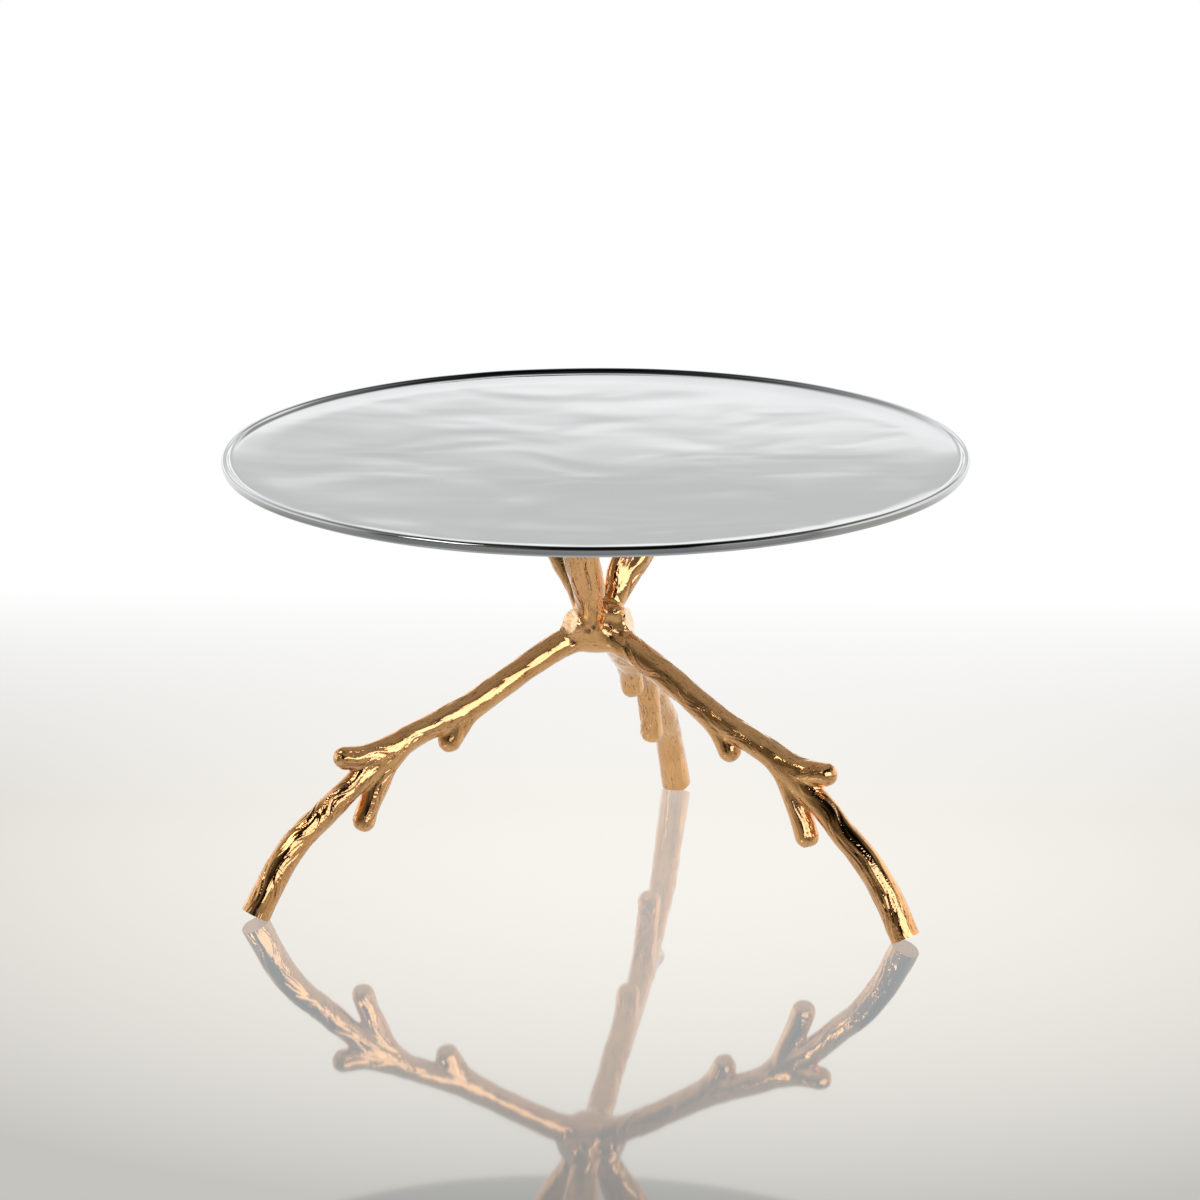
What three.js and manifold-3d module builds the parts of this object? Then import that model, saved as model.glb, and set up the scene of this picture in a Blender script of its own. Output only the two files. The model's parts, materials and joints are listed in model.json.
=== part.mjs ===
// A small serving stand: a shallow polished steel dish on a base of cast brass twigs.
// Three twig legs and three twig arms have round tenons brazed into sockets in a knotted hub.
// Each arm ends in a flat lug under the dish, held by a welded stud, two washers and a cap nut.
// Millimetres, +Z up. The origin is on the table, under the middle of the dish.
import * as THREE from "three";
import { mergeVertices } from "three/addons/utils/BufferGeometryUtils.js";
import Module from "manifold-3d";

const wasm = await Module();
wasm.setup();

// ---- Driving dimensions ----
const GAP = 0.3; // between two pieces that touch

const DISH_RADIUS = 165;
const STAND_HEIGHT = 198; // table to the top of the lip
const DISH_DEPTH = 5.5;
const SHEET = 2;
const LIP_ROUND = 0.7;
const WALL_RADIUS = 7; // outside of the bend from the floor up to the lip
const WALL_LEAN = 1; // how far the wall leans outward above the bend
const DISH_UNDERSIDE = STAND_HEIGHT - DISH_DEPTH - SHEET;

const HUB_HEIGHT = 118.5; // where the legs' root lines meet
const HUB_BALL = 12.6;
const ROOT_DISTANCE = 16; // from the hub's middle to each collar's face
const TENON_DEPTH = 8;
const LEG_SLOPE = -20; // degrees from level, at the root
const ARM_SLOPE = 58.5;
const LEG_TENON = 3.7; // radius
const ARM_TENON = 3;
const LEG_COLLAR = 6.8;
const ARM_COLLAR = 6.2;
const BUTT_RADIUS = 5.9; // sawn twig ends that stand out of the hub
const BUTT_REACH = 14.8;
const BUTT_RISE = 5;
const BUTT_TURN = 15; // degrees round from the leg below

const LEG_AZIMUTHS = { left: 202.5, right: 328, back: 76.5 };
const ARM_AZIMUTHS = { right: 22.5, left: 147, front: 250 };
const FORK_TURNS = { right: 0, left: 20, front: 75 }; // of the side prong, about its own arm

const FOOT_CONTACT = 157.5; // radius where the sawn foot leaves the table
const FOOT_TILT = 28; // degrees, of the sawn face
const CUTTER = 60; // size of the blocks that saw the twigs off

const LUG_HOLE_RADIUS = 2.3;
const LUG_CENTRE = 56;
const LUG_INNER = 41;
const LUG_HALF_WIDTH = 7.5;
const LUG_THICKNESS = 4;
const STUD_RADIUS = 2;
const STUD_LENGTH = 11.2;
const PAD_RADIUS = 7;
const PAD_THICKNESS = 1;
const WASHER_RADIUS = 4.5;
const WASHER_THICKNESS = 0.8;
const NUT_ACROSS_FLATS = 7;
const NUT_HEX_HEIGHT = 3.2;
const NUT_BORE_DEPTH = 6;
const NUT_DOME = 2.9;

const TWIG_SIDES = 10;
const TWIG_STEP = 7;
const ROUND_SIDES = 16;
const DISH_SIDES = 80;

// ---- Materials ----
const steel = new THREE.MeshStandardMaterial({ color: 0xc9cbcc, roughness: 0.12, metalness: 1 });
const brass = new THREE.MeshStandardMaterial({ color: 0xc8954a, roughness: 0.22, metalness: 1 });
const hardware = new THREE.MeshStandardMaterial({ color: 0xb4b6b8, roughness: 0.3, metalness: 1 });
const fibre = new THREE.MeshStandardMaterial({ color: 0xdedad0, roughness: 0.7, metalness: 0 });

// ---- Solids ----
const radians = THREE.MathUtils.degToRad;

// A point of a radial plane: r from the stand's axis, z up, and side across the plane.
const at = (r, z, side = 0) => new THREE.Vector3(r, side, z);

function toSolid(geometry) {
  const bare = geometry.clone();
  bare.deleteAttribute("normal");
  bare.deleteAttribute("uv");
  const merged = mergeVertices(bare, 1e-4);
  const vertProperties = new Float32Array(merged.attributes.position.array);
  const triVerts = new Uint32Array(merged.index.array);
  return new wasm.Manifold(new wasm.Mesh({ numProp: 3, vertProperties, triVerts }));
}

function toGeometry(solid) {
  const { vertProperties, triVerts } = solid.getMesh();
  const indexed = new THREE.BufferGeometry();
  indexed.setAttribute("position", new THREE.BufferAttribute(vertProperties, 3));
  indexed.setIndex(new THREE.BufferAttribute(triVerts, 1));
  const flat = indexed.toNonIndexed();
  flat.computeVertexNormals();
  return flat;
}

const join = (solids) => solids.reduce((whole, solid) => whole.add(solid));

const cut = (solid, tools) => tools.reduce((left, tool) => left.subtract(tool), solid);

function turned(geometry, azimuth) {
  return geometry.clone().rotateZ(radians(azimuth));
}

// A closed round twig along a smooth line, its radius easing from one end's to the other's.
function twig(points, startRadius, endRadius) {
  const line = new THREE.CatmullRomCurve3(points);
  const steps = Math.max(2, Math.round(line.getLength() / TWIG_STEP));
  const ring = new THREE.Shape().absarc(0, 0, 1, 0, 2 * Math.PI);
  const settings = { steps, extrudePath: line, curveSegments: TWIG_SIDES / 2, bevelEnabled: false };
  const tube = new THREE.ExtrudeGeometry(ring, settings);
  const stations = line.getSpacedPoints(steps);
  const position = tube.attributes.position;
  const vertex = new THREE.Vector3();
  for (let i = 0; i < position.count; i += 1) {
    vertex.fromBufferAttribute(position, i);
    const distances = stations.map((station) => station.distanceTo(vertex));
    const nearest = distances.indexOf(Math.min(...distances));
    const radius = THREE.MathUtils.lerp(startRadius, endRadius, nearest / steps);
    vertex.sub(stations[nearest]).multiplyScalar(radius).add(stations[nearest]);
    position.setXYZ(i, vertex.x, vertex.y, vertex.z);
  }
  return toSolid(tube);
}

function ball(centre, radius, sides = TWIG_SIDES) {
  const sphere = new THREE.SphereGeometry(radius, sides, Math.ceil(sides / 2) + 1);
  return toSolid(sphere.translate(centre.x, centre.y, centre.z));
}

// A straight round bar between two points.
function bar(start, end, radius) {
  const length = start.distanceTo(end);
  const cylinder = new THREE.CylinderGeometry(radius, radius, length, ROUND_SIDES);
  const up = new THREE.Vector3(0, 1, 0);
  const direction = end.clone().sub(start).normalize();
  cylinder.applyQuaternion(new THREE.Quaternion().setFromUnitVectors(up, direction));
  const middle = start.clone().lerp(end, 0.5);
  return cylinder.translate(middle.x, middle.y, middle.z);
}

// A block whose lower face, or upper face where below is set, lies through a point at a tilt.
function sawBlock(r, z, tilt, below) {
  const block = new THREE.BoxGeometry(CUTTER, CUTTER, CUTTER);
  block.translate(0, 0, below ? -CUTTER / 2 : CUTTER / 2);
  block.rotateY(-radians(tilt));
  return toSolid(block.translate(r, 0, z));
}

// A point along a root line, which leaves the hub's middle at a slope.
function onRoot(slope, distance) {
  const angle = radians(slope);
  return at(distance * Math.cos(angle), HUB_HEIGHT + distance * Math.sin(angle));
}

// A disc with a hole, its axis along Z, centred at the lug hole's radius.
function washer(radius, thickness, bottom) {
  const outline = new THREE.Shape().absarc(LUG_CENTRE, 0, radius, 0, 2 * Math.PI);
  outline.holes.push(new THREE.Path().absarc(LUG_CENTRE, 0, LUG_HOLE_RADIUS, 0, 2 * Math.PI));
  const settings = { depth: thickness, bevelEnabled: false, curveSegments: ROUND_SIDES / 2 };
  return new THREE.ExtrudeGeometry(outline, settings).translate(0, 0, bottom);
}

// ---- Dish ----
// Flat floor, a soft bend, then a short wall that leans out to a rounded lip.
function dish() {
  const outer = DISH_RADIUS;
  const floorTop = DISH_UNDERSIDE + SHEET;
  const bendCentre = outer - WALL_LEAN - WALL_RADIUS;
  const bendTop = DISH_UNDERSIDE + WALL_RADIUS;
  const bendSteps = 5;
  const profile = [new THREE.Vector2(0, DISH_UNDERSIDE)];
  for (let i = 0; i <= bendSteps; i += 1) {
    const angle = radians((80 * i) / bendSteps);
    const r = bendCentre + WALL_RADIUS * Math.sin(angle);
    profile.push(new THREE.Vector2(r, bendTop - WALL_RADIUS * Math.cos(angle)));
  }
  profile.push(new THREE.Vector2(outer, STAND_HEIGHT - LIP_ROUND));
  profile.push(new THREE.Vector2(outer - LIP_ROUND, STAND_HEIGHT));
  profile.push(new THREE.Vector2(outer - SHEET + LIP_ROUND, STAND_HEIGHT));
  profile.push(new THREE.Vector2(outer - SHEET, STAND_HEIGHT - LIP_ROUND));
  const innerRadius = WALL_RADIUS - SHEET;
  for (let i = bendSteps; i >= 0; i -= 1) {
    const angle = radians((75 * i) / bendSteps);
    const r = bendCentre - SHEET + WALL_LEAN + innerRadius * Math.sin(angle);
    profile.push(new THREE.Vector2(r, floorTop + innerRadius * (1 - Math.cos(angle))));
  }
  profile.push(new THREE.Vector2(0, floorTop));
  return toSolid(new THREE.LatheGeometry(profile, DISH_SIDES).rotateX(Math.PI / 2));
}

// ---- Legs ----
// The top line zigzags: the main twig runs out to a blunt stub that points outward, two more
// stubs turn down from it, and the shin springs from under the outward stub to the sawn foot.
function leg() {
  const face = ROOT_DISTANCE + GAP / 2;
  const root = [onRoot(LEG_SLOPE, face), onRoot(LEG_SLOPE, face + 4)];
  const main = [at(37, 101.7), at(56, 90.7), at(70, 84.3), at(84, 78.4), at(97, 73), at(109, 70)];
  const innerStub = [at(50, 94), at(60, 86.2), at(66, 79.5), at(69.8, 73.2)];
  const outerStub = [at(90, 76), at(98, 67), at(103.6, 56.5), at(108, 47), at(110.4, 40.5)];
  const shin = [at(98, 71), at(112, 60.5), at(120.8, 52.8), at(129.5, 44.8), at(137.6, 38)];
  const ankle = [at(145.2, 29.6), at(153, 17.8), at(161.3, 2.5), at(165, -5)];
  const outTip = at(119.4, 70);
  const wood = join([
    twig([...root, ...main, outTip], 6.3, 5.3),
    ball(outTip, 5.4),
    twig(innerStub, 5.2, 5.4),
    ball(innerStub.at(-1), 5.5),
    twig(outerStub, 5, 5.3),
    ball(outerStub.at(-1), 5.4),
    twig([...shin, ...ankle], 5.6, 6.9),
  ]);
  const footSaw = sawBlock(FOOT_CONTACT, 0, FOOT_TILT, true);
  const tableSaw = sawBlock(FOOT_CONTACT, 0, 0, true);
  const rootEnd = onRoot(LEG_SLOPE, ROOT_DISTANCE - TENON_DEPTH);
  const tenon = toSolid(bar(rootEnd, onRoot(LEG_SLOPE, ROOT_DISTANCE + 2), LEG_TENON));
  return cut(wood, [footSaw, tableSaw]).add(tenon);
}

// ---- Arms ----
// Each arm forks: the outer prong carries the lug, and the side prong ends in a blunt tip.
function arm(forkTurn) {
  const face = ROOT_DISTANCE + GAP / 2;
  const lugTop = DISH_UNDERSIDE - PAD_THICKNESS - 2 * GAP;
  const line = [at(17, 144.5), at(22.5, 152.5), at(31, 166.5), at(39.5, 180.5), at(46, 191)];
  const root = [onRoot(ARM_SLOPE, face), onRoot(ARM_SLOPE, face + 4)];
  const turn = radians(forkTurn);
  const lean = radians(ARM_SLOPE);
  const inward = at(-Math.sin(lean), Math.cos(lean)).multiplyScalar(Math.cos(turn));
  const aside = inward.add(at(0, 0, -Math.sin(turn)));
  const spread = [2, 5.5, 8, 8.5];
  const forkLine = [root[1], at(14, 140.5), at(20, 149), at(27, 160)];
  const side = forkLine.map((point, i) => point.clone().addScaledVector(aside, spread[i]));
  const wood = join([
    twig([...root, ...line], 5.9, 4.4),
    twig(side, 4.6, 3.9),
    ball(side.at(-1), 4),
  ]);
  const lugOutline = new THREE.Shape();
  lugOutline.moveTo(LUG_INNER, -LUG_HALF_WIDTH);
  lugOutline.absarc(LUG_CENTRE, 0, LUG_HALF_WIDTH, -Math.PI / 2, Math.PI / 2);
  lugOutline.lineTo(LUG_INNER, LUG_HALF_WIDTH);
  lugOutline.absarc(LUG_INNER, 0, LUG_HALF_WIDTH, Math.PI / 2, 1.5 * Math.PI);
  lugOutline.holes.push(new THREE.Path().absarc(LUG_CENTRE, 0, LUG_HOLE_RADIUS, 0, 2 * Math.PI));
  const settings = { depth: LUG_THICKNESS, bevelEnabled: false, curveSegments: ROUND_SIDES / 2 };
  const lug = new THREE.ExtrudeGeometry(lugOutline, settings);
  lug.translate(0, 0, lugTop - LUG_THICKNESS);
  const rootEnd = onRoot(ARM_SLOPE, ROOT_DISTANCE - TENON_DEPTH + 1);
  const tenon = toSolid(bar(rootEnd, onRoot(ARM_SLOPE, ROOT_DISTANCE + 2), ARM_TENON));
  const topSaw = sawBlock(LUG_INNER, lugTop, 0, false);
  return cut(wood, [topSaw]).add(toSolid(lug)).add(tenon);
}

// ---- Hub ----
// A knot with a collar for each leg and arm, and three sawn twig ends above the legs.
function hub() {
  const middle = at(0, HUB_HEIGHT);
  const face = ROOT_DISTANCE - GAP / 2;
  const solids = [ball(at(0, HUB_HEIGHT - 0.5), HUB_BALL, ROUND_SIDES)];
  const sockets = [];
  const addRoot = (azimuth, slope, collar, tenon, depth) => {
    const boss = bar(middle, onRoot(slope, face), collar);
    const socket = bar(onRoot(slope, face - depth - GAP), onRoot(slope, face + 1), tenon + GAP);
    solids.push(toSolid(turned(boss, azimuth)));
    sockets.push(toSolid(turned(socket, azimuth)));
  };
  for (const azimuth of Object.values(LEG_AZIMUTHS)) {
    const butt = bar(middle, at(BUTT_REACH, HUB_HEIGHT + BUTT_RISE), BUTT_RADIUS);
    solids.push(toSolid(turned(butt, azimuth + BUTT_TURN)));
    addRoot(azimuth, LEG_SLOPE, LEG_COLLAR, LEG_TENON, TENON_DEPTH);
  }
  for (const azimuth of Object.values(ARM_AZIMUTHS)) {
    addRoot(azimuth, ARM_SLOPE, ARM_COLLAR, ARM_TENON, TENON_DEPTH - 1);
  }
  return cut(join(solids), sockets);
}

// ---- Fasteners ----
function stud() {
  const top = DISH_UNDERSIDE - GAP;
  return toSolid(bar(at(LUG_CENTRE, top - STUD_LENGTH), at(LUG_CENTRE, top), STUD_RADIUS));
}

// A hexagon with a dome below it and a blind bore from above.
function capNut(top) {
  const hexagon = new THREE.CylinderGeometry(
    NUT_ACROSS_FLATS / Math.sqrt(3),
    NUT_ACROSS_FLATS / Math.sqrt(3),
    NUT_HEX_HEIGHT,
    6,
  );
  hexagon.rotateX(Math.PI / 2).translate(LUG_CENTRE, 0, top - NUT_HEX_HEIGHT / 2);
  const neckEnd = at(LUG_CENTRE, top - NUT_HEX_HEIGHT - 1.5);
  const neck = toSolid(bar(neckEnd, at(LUG_CENTRE, top - 1), NUT_DOME));
  const dome = ball(neckEnd, NUT_DOME, ROUND_SIDES);
  const bore = bar(at(LUG_CENTRE, top - NUT_BORE_DEPTH), at(LUG_CENTRE, top + 1), LUG_HOLE_RADIUS);
  return cut(join([toSolid(hexagon), neck, dome]), [toSolid(bore)]);
}

// ---- Assembly ----
const group = new THREE.Group();

function place(name, solid, material, azimuth = 0) {
  const mesh = new THREE.Mesh(toGeometry(solid), material.clone());
  mesh.name = name;
  mesh.rotation.z = radians(azimuth);
  group.add(mesh);
}

place("dish", dish(), steel);
place("hub", hub(), brass);

for (const [side, azimuth] of Object.entries(LEG_AZIMUTHS)) {
  place(`leg_${side}`, leg(), brass, azimuth);
}

const padBottom = DISH_UNDERSIDE - GAP - PAD_THICKNESS;
const lugBottom = padBottom - GAP - LUG_THICKNESS;
const washerBottom = lugBottom - GAP - WASHER_THICKNESS;
for (const [side, azimuth] of Object.entries(ARM_AZIMUTHS)) {
  place(`arm_${side}`, arm(FORK_TURNS[side]), brass, azimuth);
  place(`stud_${side}`, stud(), hardware, azimuth);
  place(`pad_${side}`, toSolid(washer(PAD_RADIUS, PAD_THICKNESS, padBottom)), fibre, azimuth);
  const washerShape = washer(WASHER_RADIUS, WASHER_THICKNESS, washerBottom);
  place(`washer_${side}`, toSolid(washerShape), hardware, azimuth);
  place(`cap_nut_${side}`, capNut(washerBottom - GAP), hardware, azimuth);
}

export default group;
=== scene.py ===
import itertools
import json
import math

import bmesh
import bpy
import numpy as np
from mathutils import Matrix, Vector

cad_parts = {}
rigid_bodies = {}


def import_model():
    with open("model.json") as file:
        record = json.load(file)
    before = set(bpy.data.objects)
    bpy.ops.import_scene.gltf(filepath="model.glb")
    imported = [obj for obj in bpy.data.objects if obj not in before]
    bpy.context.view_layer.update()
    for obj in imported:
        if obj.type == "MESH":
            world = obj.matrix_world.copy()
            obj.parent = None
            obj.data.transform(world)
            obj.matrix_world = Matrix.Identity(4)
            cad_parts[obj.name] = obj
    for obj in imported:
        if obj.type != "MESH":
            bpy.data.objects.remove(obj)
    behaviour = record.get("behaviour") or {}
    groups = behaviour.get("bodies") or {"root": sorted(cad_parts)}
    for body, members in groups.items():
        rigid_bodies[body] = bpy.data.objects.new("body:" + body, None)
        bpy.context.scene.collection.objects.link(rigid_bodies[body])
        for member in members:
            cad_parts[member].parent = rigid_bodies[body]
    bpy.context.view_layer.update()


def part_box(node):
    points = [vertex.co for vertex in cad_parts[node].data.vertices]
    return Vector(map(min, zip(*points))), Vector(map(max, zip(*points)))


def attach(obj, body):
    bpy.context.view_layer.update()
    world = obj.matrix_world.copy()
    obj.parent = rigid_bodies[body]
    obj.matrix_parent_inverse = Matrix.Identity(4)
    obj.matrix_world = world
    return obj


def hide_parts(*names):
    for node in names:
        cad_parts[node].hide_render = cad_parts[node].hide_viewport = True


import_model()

MM = 0.001

# ---------------------------------------------------------------- places and sizes
dish_low, dish_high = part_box("dish")
DISH_RADIUS = (dish_high.x - dish_low.x) / 2 / MM
DISH_UNDERSIDE = dish_low.z / MM
LIP_TOP = dish_high.z / MM
LIP_RADIUS = 1.6
WALL_SLOPE = 56
GENTLE_SLOPE = 6.5
GENTLE_SHARE = 0.8
WALL_WIDTH = 16
HEEL_HEIGHT = 3.2
HEEL_RADIUS = 1.5
FLAT_RADIUS = 100
FLOOR_SAG = 2.3
LIP_LIFT = 0.5
RIM_TILT = 0.75
RIM_SHIFT = -1.4
RIM_GROWTH = 0.6
RIM_WOBBLE = 0.4
RIM_WAVE = 0.12
RIM_STIFFNESS = 0.6
SHEET_SINK = 0.1
DISH_SIDES = 400

# How high each sort of hammering stands, in millimetres.
BROAD_HOLLOWS = 0.34
SMALL_HOLLOWS = 0.16
SOFT_CRESTS = 0.08
FINE_RIPPLES = 0.032

HUB_HEIGHT = 118.5
HUB_CORE = 10.3
ROOT_DISTANCE = 16
LEG_SLOPE = -20
ARM_SLOPE = 58.5
BUTT_RADIUS = 5.9
BUTT_REACH = 14.8
BUTT_RISE = 5
BUTT_TURN = 15
LEG_AZIMUTHS = {"left": 202.5, "right": 328, "back": 76.5}
ARM_AZIMUTHS = {"right": 22.5, "left": 147, "front": 250}
# How far from the hub's middle each arm and the hub are cut apart.
ARM_SEAMS = {"right": 19, "left": 16, "front": 16}
FORK_TURNS = {"right": 0, "left": 20, "front": -90}
FOOT_CONTACT = 157.5
FOOT_TILT = 28

LUG_CENTRE = 56
LUG_INNER = 41
LUG_HALF_WIDTH = 7.5
LUG_THICKNESS = 4
LUG_HOLE_RADIUS = 2.3
LUG_TOP = DISH_UNDERSIDE - 1.6

VOXEL = 0.46
LIMB_STEP = 1.5
RING_SIDES = 18
MELT_STEPS = 8
TWIG_MELT = 1.0
KNOT_MELT = 1.0
KNOT_REACH = 13
CREASE_WIDTH = 0.07
CREASE_DEPTH = 0.36
SCRATCH_WIDTH = 0.2
SCRATCH_DEPTH = 0.17
# Half the gap between two castings, so that they read as one.
SEAM = 0.012

NUT_FLAT = 3.5
NUT_CORNER = 3.95
DOME_RADIUS = 2.9
HEX_HEIGHT = 3.2
FASTENER_SIDES = 72
THREAD_PITCH = 0.7
THREAD_DEPTH = 0.22

CAMERA_FIELD = 8
CAMERA_DISTANCE = 3.848
CAMERA_ELEVATION = 16.78
CAMERA_PITCH = 14.89
CAMERA_ROLL = 0.67
CAMERA_ASIDE = 0.0013

GOLD = (0.88, 0.44, 0.125)
DEEP_GOLD = (0.8, 0.37, 0.09)
# The crease, crack and pit colours paint shade into the hollows of the brass; the crease brown is partly
# patina too.
CREASE_PATINA_AND_SHADE_BROWN = (0.4, 0.14, 0.03)
CRACK_SHADE_BROWN = (0.16, 0.06, 0.015)
PIT_SHADE_BLACK = (0.02, 0.008, 0.003)
SAWN_EDGE = (0.96, 0.6, 0.3)

# Painted light: the middle and the dimmer edge of the floor's own glow.
WORKTOP_GLOW = (0.65, 0.68, 0.69)
WORKTOP_GLOW_EDGE = (0.34, 0.36, 0.365)
MIRROR_TINT = (1.0, 0.93, 0.83)
MIRROR_EDGE = (0.6, 0.56, 0.5)
ROOM_LEFT = (0.14, 0.13, 0.11)
ROOM_RIGHT = (0.55, 0.53, 0.5)
WINDOW_LIGHT = (1.2, 1.18, 1.15)
COOL_LIGHT = (1.0, 1.1, 1.35)


# ---------------------------------------------------------------- node helpers
def make_material(name):
    """A new node material, as its nodes, its links and its Principled shader, then itself."""
    material = bpy.data.materials.new(name)
    material.use_nodes = True
    nodes = material.node_tree.nodes
    return nodes, material.node_tree.links, nodes["Principled BSDF"], material


def object_place(nodes):
    return nodes.new("ShaderNodeTexCoord").outputs["Object"]


def attribute(nodes, name, output):
    node = nodes.new("ShaderNodeAttribute")
    node.attribute_name = name
    return node.outputs[output]


def noise_of(nodes, links, place, scale, detail=2.0):
    """A noise texture's factor at the given place."""
    texture = nodes.new("ShaderNodeTexNoise")
    texture.inputs["Scale"].default_value = scale
    texture.inputs["Detail"].default_value = detail
    links.new(place, texture.inputs["Vector"])
    return texture.outputs["Fac"]


def stretched(nodes, links, place, scale):
    """The place scaled by three numbers, so that a pattern runs long one way."""
    mapping = nodes.new("ShaderNodeMapping")
    mapping.inputs["Scale"].default_value = scale
    links.new(place, mapping.inputs["Vector"])
    return mapping.outputs["Vector"]


def ranged(nodes, links, value, low, high, new_low, new_high):
    """A value moved from one range to another, and held inside it."""
    remap = nodes.new("ShaderNodeMapRange")
    numbers = (low, high, new_low, new_high)
    for socket, number in zip(("From Min", "From Max", "To Min", "To Max"), numbers):
        remap.inputs[socket].default_value = number
    links.new(value, remap.inputs["Value"])
    return remap.outputs["Result"]


def mixed(nodes, links, factor, start, end):
    """The start colour where the factor is 0, the end colour where it is 1; both may be sockets."""
    mix = nodes.new("ShaderNodeMix")
    mix.data_type = "RGBA"
    links.new(factor, mix.inputs["Factor"])
    colour_sockets = [socket for socket in mix.inputs if socket.type == "RGBA"]
    for socket, colour in zip(colour_sockets, (start, end)):
        if isinstance(colour, bpy.types.NodeSocket):
            links.new(colour, socket)
        else:
            socket.default_value = (*colour, 1.0)
    return next(socket for socket in mix.outputs if socket.type == "RGBA")


def multiplied(nodes, links, one, other):
    """Two colours multiplied."""
    mix = nodes.new("ShaderNodeMix")
    mix.data_type = "RGBA"
    mix.blend_type = "MULTIPLY"
    mix.inputs["Factor"].default_value = 1.0
    colour_sockets = [socket for socket in mix.inputs if socket.type == "RGBA"]
    for socket, colour in zip(colour_sockets, (one, other)):
        links.new(colour, socket)
    return next(socket for socket in mix.outputs if socket.type == "RGBA")


def product(nodes, links, one, other):
    """Two numbers multiplied."""
    times = nodes.new("ShaderNodeMath")
    times.operation = "MULTIPLY"
    links.new(one, times.inputs[0])
    links.new(other, times.inputs[1])
    return times.outputs["Value"]


def level_ramp(nodes, links, value, stops):
    """A grey that follows the value through the given (position, level) stops."""
    node = nodes.new("ShaderNodeValToRGB")
    ramp = node.color_ramp
    ramp.elements[0].position, ramp.elements[1].position = stops[0][0], stops[-1][0]
    for position, _ in stops[1:-1]:
        ramp.elements.new(position)
    for element, (_, level) in zip(ramp.elements, stops):
        element.color = (level, level, level, 1.0)
    links.new(value, node.inputs["Fac"])
    return node.outputs["Color"]


def bumped(nodes, links, height, reach, strength, below=None):
    """A bump normal from a height; reach is the height's size in millimetres."""
    bump = nodes.new("ShaderNodeBump")
    bump.inputs["Distance"].default_value = reach * MM
    if isinstance(strength, bpy.types.NodeSocket):
        links.new(strength, bump.inputs["Strength"])
    else:
        bump.inputs["Strength"].default_value = strength
    links.new(height, bump.inputs["Height"])
    if below is not None:
        links.new(below, bump.inputs["Normal"])
    return bump.outputs["Normal"]


# ---------------------------------------------------------------- materials
def cast_brass():
    """Lacquered, polished cast brass: fine bark along each twig, with painted shade in its hollows: dark
    lines painted along hairline cracks, creases darkened partly by patina and partly by painted shade, and
    casting pits painted near black as painted shade.
    """
    nodes, links, shader, material = make_material("cast_brass")
    grain = attribute(nodes, "grain", "Vector")
    crease = attribute(nodes, "crease", "Fac")
    place = object_place(nodes)
    fibres = noise_of(nodes, links, stretched(nodes, links, grain, (0.8, 0.8, 0.05)), 1.0, 2.0)
    cracks = noise_of(nodes, links, stretched(nodes, links, grain, (0.6, 0.6, 0.06)), 1.0, 3.0)
    patches = noise_of(nodes, links, stretched(nodes, links, grain, (0.12, 0.12, 0.03)), 1.0, 2.0)
    pits = noise_of(nodes, links, place, 1100.0, 2.0)
    cloud = noise_of(nodes, links, place, 55.0, 2.0)
    near_half = nodes.new("ShaderNodeMath")
    near_half.operation = "COMPARE"
    near_half.inputs[1].default_value = 0.5
    near_half.inputs[2].default_value = 0.007
    links.new(cracks, near_half.inputs[0])
    tone = ranged(nodes, links, cloud, 0.35, 0.65, 0.0, 1.0)
    gold = mixed(nodes, links, tone, GOLD, DEEP_GOLD)
    # Creases are darkened towards brown: partly patina in the hollows, partly painted shade.
    dark = ranged(nodes, links, crease, 0.0, 1.0, 0.0, 0.85)
    patina_and_shade = mixed(nodes, links, dark, gold, CREASE_PATINA_AND_SHADE_BROWN)
    # Thin lines of the crack noise are painted dark brown: painted shade in hairline cracks that have no
    # depth of their own.
    cracked = mixed(nodes, links, near_half.outputs["Value"], patina_and_shade, CRACK_SHADE_BROWN)
    # Where the crease share runs from 1 to 2, in the casting pits, the brass is painted near black:
    # painted shade in the pits.
    pitted = mixed(nodes, links, ranged(nodes, links, crease, 1.0, 2.0, 0.0, 1.0), cracked, PIT_SHADE_BLACK)
    sawn = attribute(nodes, "sawn", "Fac")
    links.new(mixed(nodes, links, sawn, pitted, SAWN_EDGE), shader.inputs["Base Color"])
    links.new(ranged(nodes, links, fibres, 0.3, 0.7, 0.04, 0.1), shader.inputs["Roughness"])
    scale = ranged(nodes, links, patches, 0.4, 0.56, 0.3, 1.0)
    ribs = bumped(nodes, links, fibres, 0.2, scale)
    links.new(bumped(nodes, links, pits, 0.04, 0.2, ribs), shader.inputs["Normal"])
    shader.inputs["Metallic"].default_value = 1.0
    shader.inputs["Coat Weight"].default_value = 1.0
    shader.inputs["Coat IOR"].default_value = 1.75
    shader.inputs["Coat Roughness"].default_value = 0.05
    return material


def sawn_brass():
    """A twig's sawn end: paler, duller and finely scored."""
    nodes, links, shader, material = make_material("sawn_brass")
    place = object_place(nodes)
    scores = noise_of(nodes, links, stretched(nodes, links, place, (1.0, 1.0, 7.0)), 500.0, 3.0)
    cloud = noise_of(nodes, links, place, 170.0, 2.0)
    links.new(mixed(nodes, links, cloud, (0.8, 0.54, 0.28), (0.68, 0.43, 0.2)),
              shader.inputs["Base Color"])
    links.new(ranged(nodes, links, scores, 0.3, 0.7, 0.28, 0.42), shader.inputs["Roughness"])
    links.new(bumped(nodes, links, scores, 0.08, 0.4), shader.inputs["Normal"])
    shader.inputs["Metallic"].default_value = 1.0
    return material


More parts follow.
